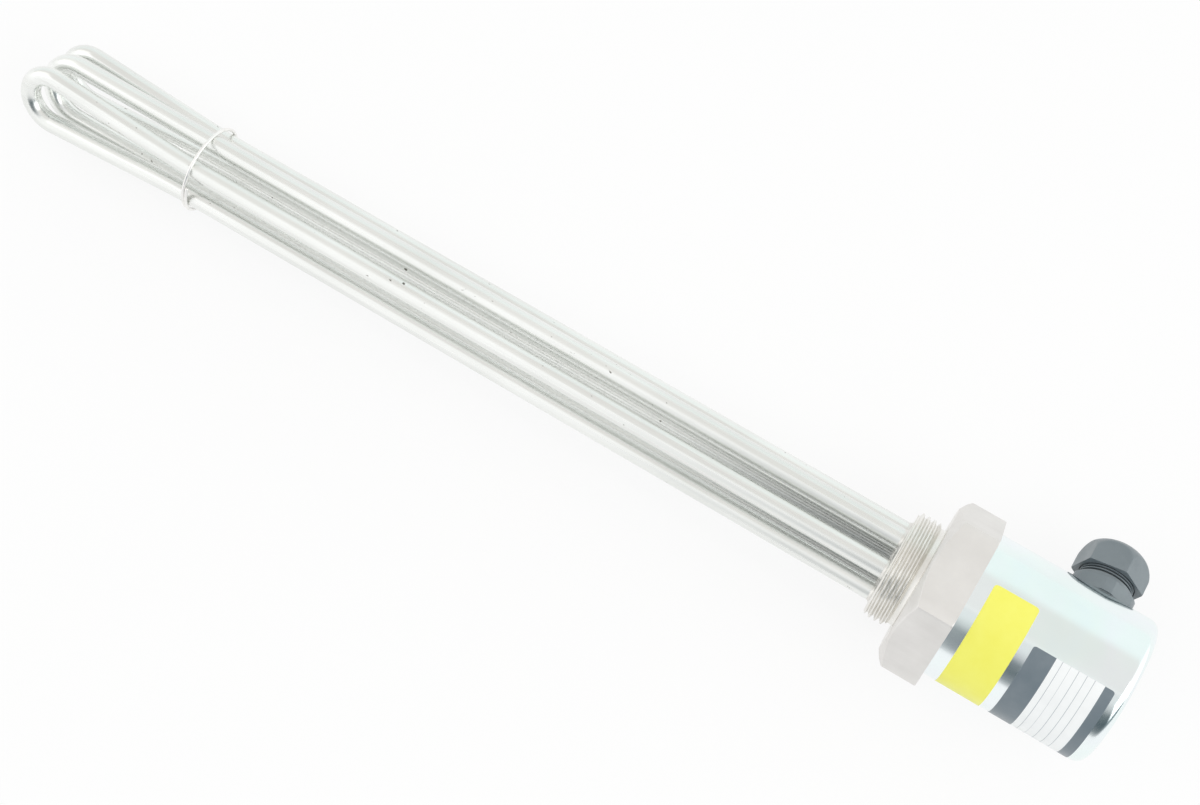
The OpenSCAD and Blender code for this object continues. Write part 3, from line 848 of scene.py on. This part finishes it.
def ceramic():
    """Cream steatite."""
    s = Shader("ceramic", (0.80, 0.76, 0.68), 0.0, 0.3)
    s.set("Base Color", s.between(s.noise(300), (0.76, 0.72, 0.63), (0.84, 0.81, 0.74)))
    s.bump(s.noise(900), 0.08, 0.05 * MM)
    return s.material


def small_metal(name, colour, roughness, rough_range, low, high):
    """Metal of the small pieces, with an uneven shine between two tones."""
    s = Shader(name, colour, 1.0, roughness)
    s.set("Roughness", s.between(s.noise(400), *rough_range))
    s.set("Base Color", s.between(s.noise(150), low, high))
    return s.material


def bright_wire():
    """Soft bright wire with a satin skin."""
    return small_metal("bright_wire", (0.92, 0.91, 0.89), 0.4, (0.34, 0.5),
                       (0.90, 0.89, 0.87), (0.96, 0.95, 0.93))


def plated_steel():
    """Nickel-plated steel of the terminals' hardware."""
    return small_metal("plated_steel", (0.70, 0.71, 0.69), 0.28, (0.2, 0.38),
                       (0.64, 0.65, 0.64), (0.75, 0.76, 0.74))


def turned_brass():
    """Bright turned brass."""
    return small_metal("turned_brass", (0.76, 0.58, 0.28), 0.26, (0.18, 0.36),
                       (0.70, 0.52, 0.24), (0.80, 0.63, 0.33))


def yellow_foil():
    """Plain yellow vinyl foil."""
    s = Shader("yellow_foil", (0.95, 0.92, 0.15), 0.0, 0.38)
    s.set("Base Color", s.between(s.noise(140), (0.91, 0.885, 0.13), (0.93, 0.915, 0.165)))
    s.bump(s.noise(700), 0.05, 0.03 * MM)
    return s.material


def plate_foil():
    """Pale ruled foil with a dark band along each end, set by the place along the heater's axis."""
    s = Shader("plate_foil", (0.78, 0.80, 0.82), 0.0, 0.32)
    bands = [(0.0, DARK_INK), (FIRST_BAND_END, PALE_INK)]
    for line in RULED_LINES:
        bands += [(line, LINE_INK), (line + LINE_W, PALE_INK)]
    bands += [(SECOND_BAND, DARK_INK)]
    split = s.tree.nodes.new("ShaderNodeSeparateXYZ")
    join(s.tree, split.inputs["Vector"], s.coords)
    place = map_range(s.tree, split.outputs["X"], *PLATE_X, smooth=False)
    fields = s.ramp(place, bands, "CONSTANT")
    haze = s.ramp(s.noise(160), [(0.35, 0.0), (0.7, 0.08)])
    s.set("Base Color", s.mix(haze, fields, (0.5, 0.52, 0.55)))
    s.bump(s.noise(600), 0.04, 0.03 * MM)
    return s.material


def paint(obj, material):
    """Gives an object one material."""
    obj.data.materials.clear()
    obj.data.materials.append(material)


def dress_nodes(materials):
    """Gives each CAD node that still shows its material, and crisp smooth shading."""
    for name, node in frame["nodes"].items():
        slot = next(p["material_slot"] for p in frame["record"]["subparts"] if p["node"] == name)
        paint(node, materials[slot])
        smooth_by_angle(node, 35)


# Building and dressing the pieces

plug = make_plug()
hairpins = [
    make_hairpin("hairpin_front", bulb_path(FRONT_TIP_X), LEG_R * COS_30),
    make_hairpin("hairpin_middle", wide_path(), 0.0),
    make_hairpin("hairpin_back", bulb_path(BACK_TIP_X), -LEG_R * COS_30),
]
braze = make_braze()
hoop = make_hoop()
housing = make_housing()
gland_nut = make_gland_nut()
sticker = make_foil("yellow_sticker", STICKER_X, STICKER_START, STICKER_LEN, STICKER_CORNER)
plate = make_foil("pale_plate", PLATE_X, PLATE_START, PLATE_LEN, PLATE_CORNER)

slot_materials = {
    "plug_metal": plug_steel(), "heater_tube": tube_steel(), "hoop_wire": bright_wire(),
    "ceramic": ceramic(), "terminal_steel": plated_steel(), "terminal_brass": turned_brass(),
    "zinc_sheet": zinc(), "gasket_rubber": rubber(), "gland_plastic": gland_plastic(),
}
dress_nodes(slot_materials)
for tube in hairpins:
    paint(tube, slot_materials["heater_tube"])
paint(plug, slot_materials["plug_metal"])
# The front face and all beyond it are freshly turned
FRONT_FACE_X = 0.05 * MM
plug.data.materials.append(thread_steel())
for face in plug.data.polygons:
    if face.center.x < FRONT_FACE_X:
        face.material_index = 1
paint(braze, braze_metal())
paint(hoop, slot_materials["hoop_wire"])
paint(housing, slot_materials["zinc_sheet"])
paint(gland_nut, slot_materials["gland_plastic"])
paint(frame["nodes"]["gland_body"], gland_body_plastic())
smooth_by_angle(frame["nodes"]["gland_body"], 12)
paint(frame["nodes"]["gland_gasket"], grey_rubber())
paint(sticker, yellow_foil())
paint(plate, plate_foil())


# Floor, light and camera

FLOOR_SIZE = 6.0
# The floor touches the hexagon just behind its chamfer, and the back hairpin this far from its tip
HEX_CONTACT_X, TIP_CONTACT = 0.9 * MM, 12 * MM
# Share of plain white in what the camera and reflections see of the floor
FLOOR_WHITE = 0.84
# Tones of the room and shares of the dark doorway, by the angle around the heater's axis in degrees
ROOM = (
    (-180, 0.90), (-95, 0.92), (-84, 1.0), (-24, 1.0), (-12, (0.785, 0.772, 0.755)),
    (36, (0.78, 0.768, 0.75)), (47, (0.85, 0.893, 0.885)), (180, (0.87, 0.893, 0.893)),
)
DOORWAY = (
    (-100, 0.0), (-91, 0.5), (-82, 0.9), (-68, 1.0), (-52, 0.92),
    (-42, 0.55), (-32, 0.32), (-21, 0.28), (-15, 0.0),
)
DARK = (0.07, 0.10, 0.113)
# Where the doorway starts and where the lighter end wall does, along the heater's axis
DOORWAY_EDGE, END_WALL = (-0.03, 0.05), (0.5, 0.8)
ROOM_STRENGTH, END_STRENGTH = 1.12, 1.75
LAMP_SIZE = 1.2
LAMP_TARGET = Vector((-0.15, 0, 0))
KEY_PLACE, KEY_WATTS = Vector((1.15, -0.45, 0.95)), 5
FILL_PLACE, FILL_WATTS = Vector((-1.55, -0.35, 0.95)), 1.5
CAMERA_PLACE = Vector((-16.3, -190.8, 674.4)) * MM
CAMERA_AZIMUTH = math.radians(31.31)
CAMERA_ELEVATION = math.radians(71.92)
FOCAL_PIXELS, FRAME_PIXELS = 1943.7, 1200
SENSOR_WIDTH_MM = 36
CLIP_START = 0.01


def floor_white():
    """White floor that keeps the heater's shadow."""
    s = Shader("floor_white", (0.86, 0.86, 0.86), 0.0, 0.75)
    s.set("Base Color", s.between(s.noise(6), 0.89, 0.92))
    rays = s.tree.nodes.new("ShaderNodeLightPath")
    seen = math_node(s.tree, "MAXIMUM", rays.outputs["Is Camera Ray"], rays.outputs["Is Glossy Ray"])
    glow = s.tree.nodes.new("ShaderNodeEmission")
    glow.inputs["Strength"].default_value = 1.0
    blend = s.tree.nodes.new("ShaderNodeMixShader")
    join(s.tree, blend.inputs["Fac"], math_node(s.tree, "MULTIPLY", seen, FLOOR_WHITE))
    join(s.tree, blend.inputs[1], s.bsdf.outputs["BSDF"])
    join(s.tree, blend.inputs[2], glow.outputs["Emission"])
    join(s.tree, s.tree.nodes["Material Output"].inputs["Surface"], blend.outputs["Shader"])
    return s.material


def make_floor():
    """A plane under the hexagon's edge and the lowest tip, on which the heater lies."""
    hex_contact = Vector((HEX_CONTACT_X, 0, -HEX_HALF))
    back_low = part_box("hairpin_back")[0]
    tip_contact = Vector((back_low[0] + TIP_CONTACT, 0, back_low[2]))
    run = hex_contact - tip_contact
    lean = math.atan2(-run.z, run.x)
    bpy.ops.mesh.primitive_plane_add(size=FLOOR_SIZE)
    floor = bpy.context.object
    floor.name = "floor"
    floor.matrix_world = Matrix.Translation(hex_contact) @ Matrix.Rotation(lean, 4, "Y")
    paint(floor, floor_white())


def turn_stops(stops):
    """Ramp places from angles in degrees from straight up, positive towards the gland."""
    return [((degrees + 180) / 360, tone) for degrees, tone in stops]


def make_world():
    """A white room with a grey ceiling, a light panel on the camera's side and a dark doorway beside it.

    The wall beyond the terminal housing is lighter."""
    world = bpy.data.worlds.new("studio")
    bpy.context.scene.world = world
    world.use_nodes = True
    tree = world.node_tree
    split = tree.nodes.new("ShaderNodeSeparateXYZ")
    join(tree, split.inputs["Vector"], tree.nodes.new("ShaderNodeTexCoord").outputs["Generated"])
    angle = math_node(tree, "ARCTAN2", split.outputs["Y"], split.outputs["Z"])
    around = map_range(tree, angle, -math.pi, math.pi, smooth=False)
    room = colour_ramp(tree, around, turn_stops(ROOM))
    doorway = colour_ramp(tree, around, turn_stops(DOORWAY))
    beside = map_range(tree, split.outputs["X"], *DOORWAY_EDGE)
    dark_share = math_node(tree, "MULTIPLY", doorway, beside)
    background = tree.nodes["Background"]
    join(tree, background.inputs["Color"], mix_colours(tree, dark_share, room, DARK))
    strength = map_range(tree, split.outputs["X"], *END_WALL, to=(ROOM_STRENGTH, END_STRENGTH))
    join(tree, background.inputs["Strength"], strength)


def make_lamp(name, place, watts):
    """A square lamp that faces the heater."""
    data = bpy.data.lights.new(name, "AREA")
    data.shape = "RECTANGLE"
    data.size, data.size_y = LAMP_SIZE, LAMP_SIZE
    data.energy = watts
    lamp = bpy.data.objects.new(name, data)
    bpy.context.scene.collection.objects.link(lamp)
    lamp.location = place
    lamp.rotation_euler = (LAMP_TARGET - place).to_track_quat("-Z", "Y").to_euler()


def make_camera():
    """The photograph's camera, level from side to side."""
    back = Vector((
        math.sin(CAMERA_AZIMUTH) * math.cos(CAMERA_ELEVATION),
        -math.cos(CAMERA_AZIMUTH) * math.cos(CAMERA_ELEVATION),
        math.sin(CAMERA_ELEVATION),
    ))
    right = Vector((math.cos(CAMERA_AZIMUTH), math.sin(CAMERA_AZIMUTH), 0))
    up = back.cross(right)
    data = bpy.data.cameras.new("camera")
    data.sensor_width = SENSOR_WIDTH_MM
    data.lens = data.sensor_width * FOCAL_PIXELS / FRAME_PIXELS
    data.clip_start = CLIP_START
    camera = bpy.data.objects.new("camera", data)
    bpy.context.scene.collection.objects.link(camera)
    turn = Matrix((right, up, back)).transposed().to_4x4()
    camera.matrix_world = Matrix.Translation(CAMERA_PLACE) @ turn
    bpy.context.scene.camera = camera


make_floor()
make_world()
make_lamp("key", KEY_PLACE, KEY_WATTS)
make_lamp("fill", FILL_PLACE, FILL_WATTS)
make_camera()

bpy.context.scene.view_settings.view_transform = "Standard"
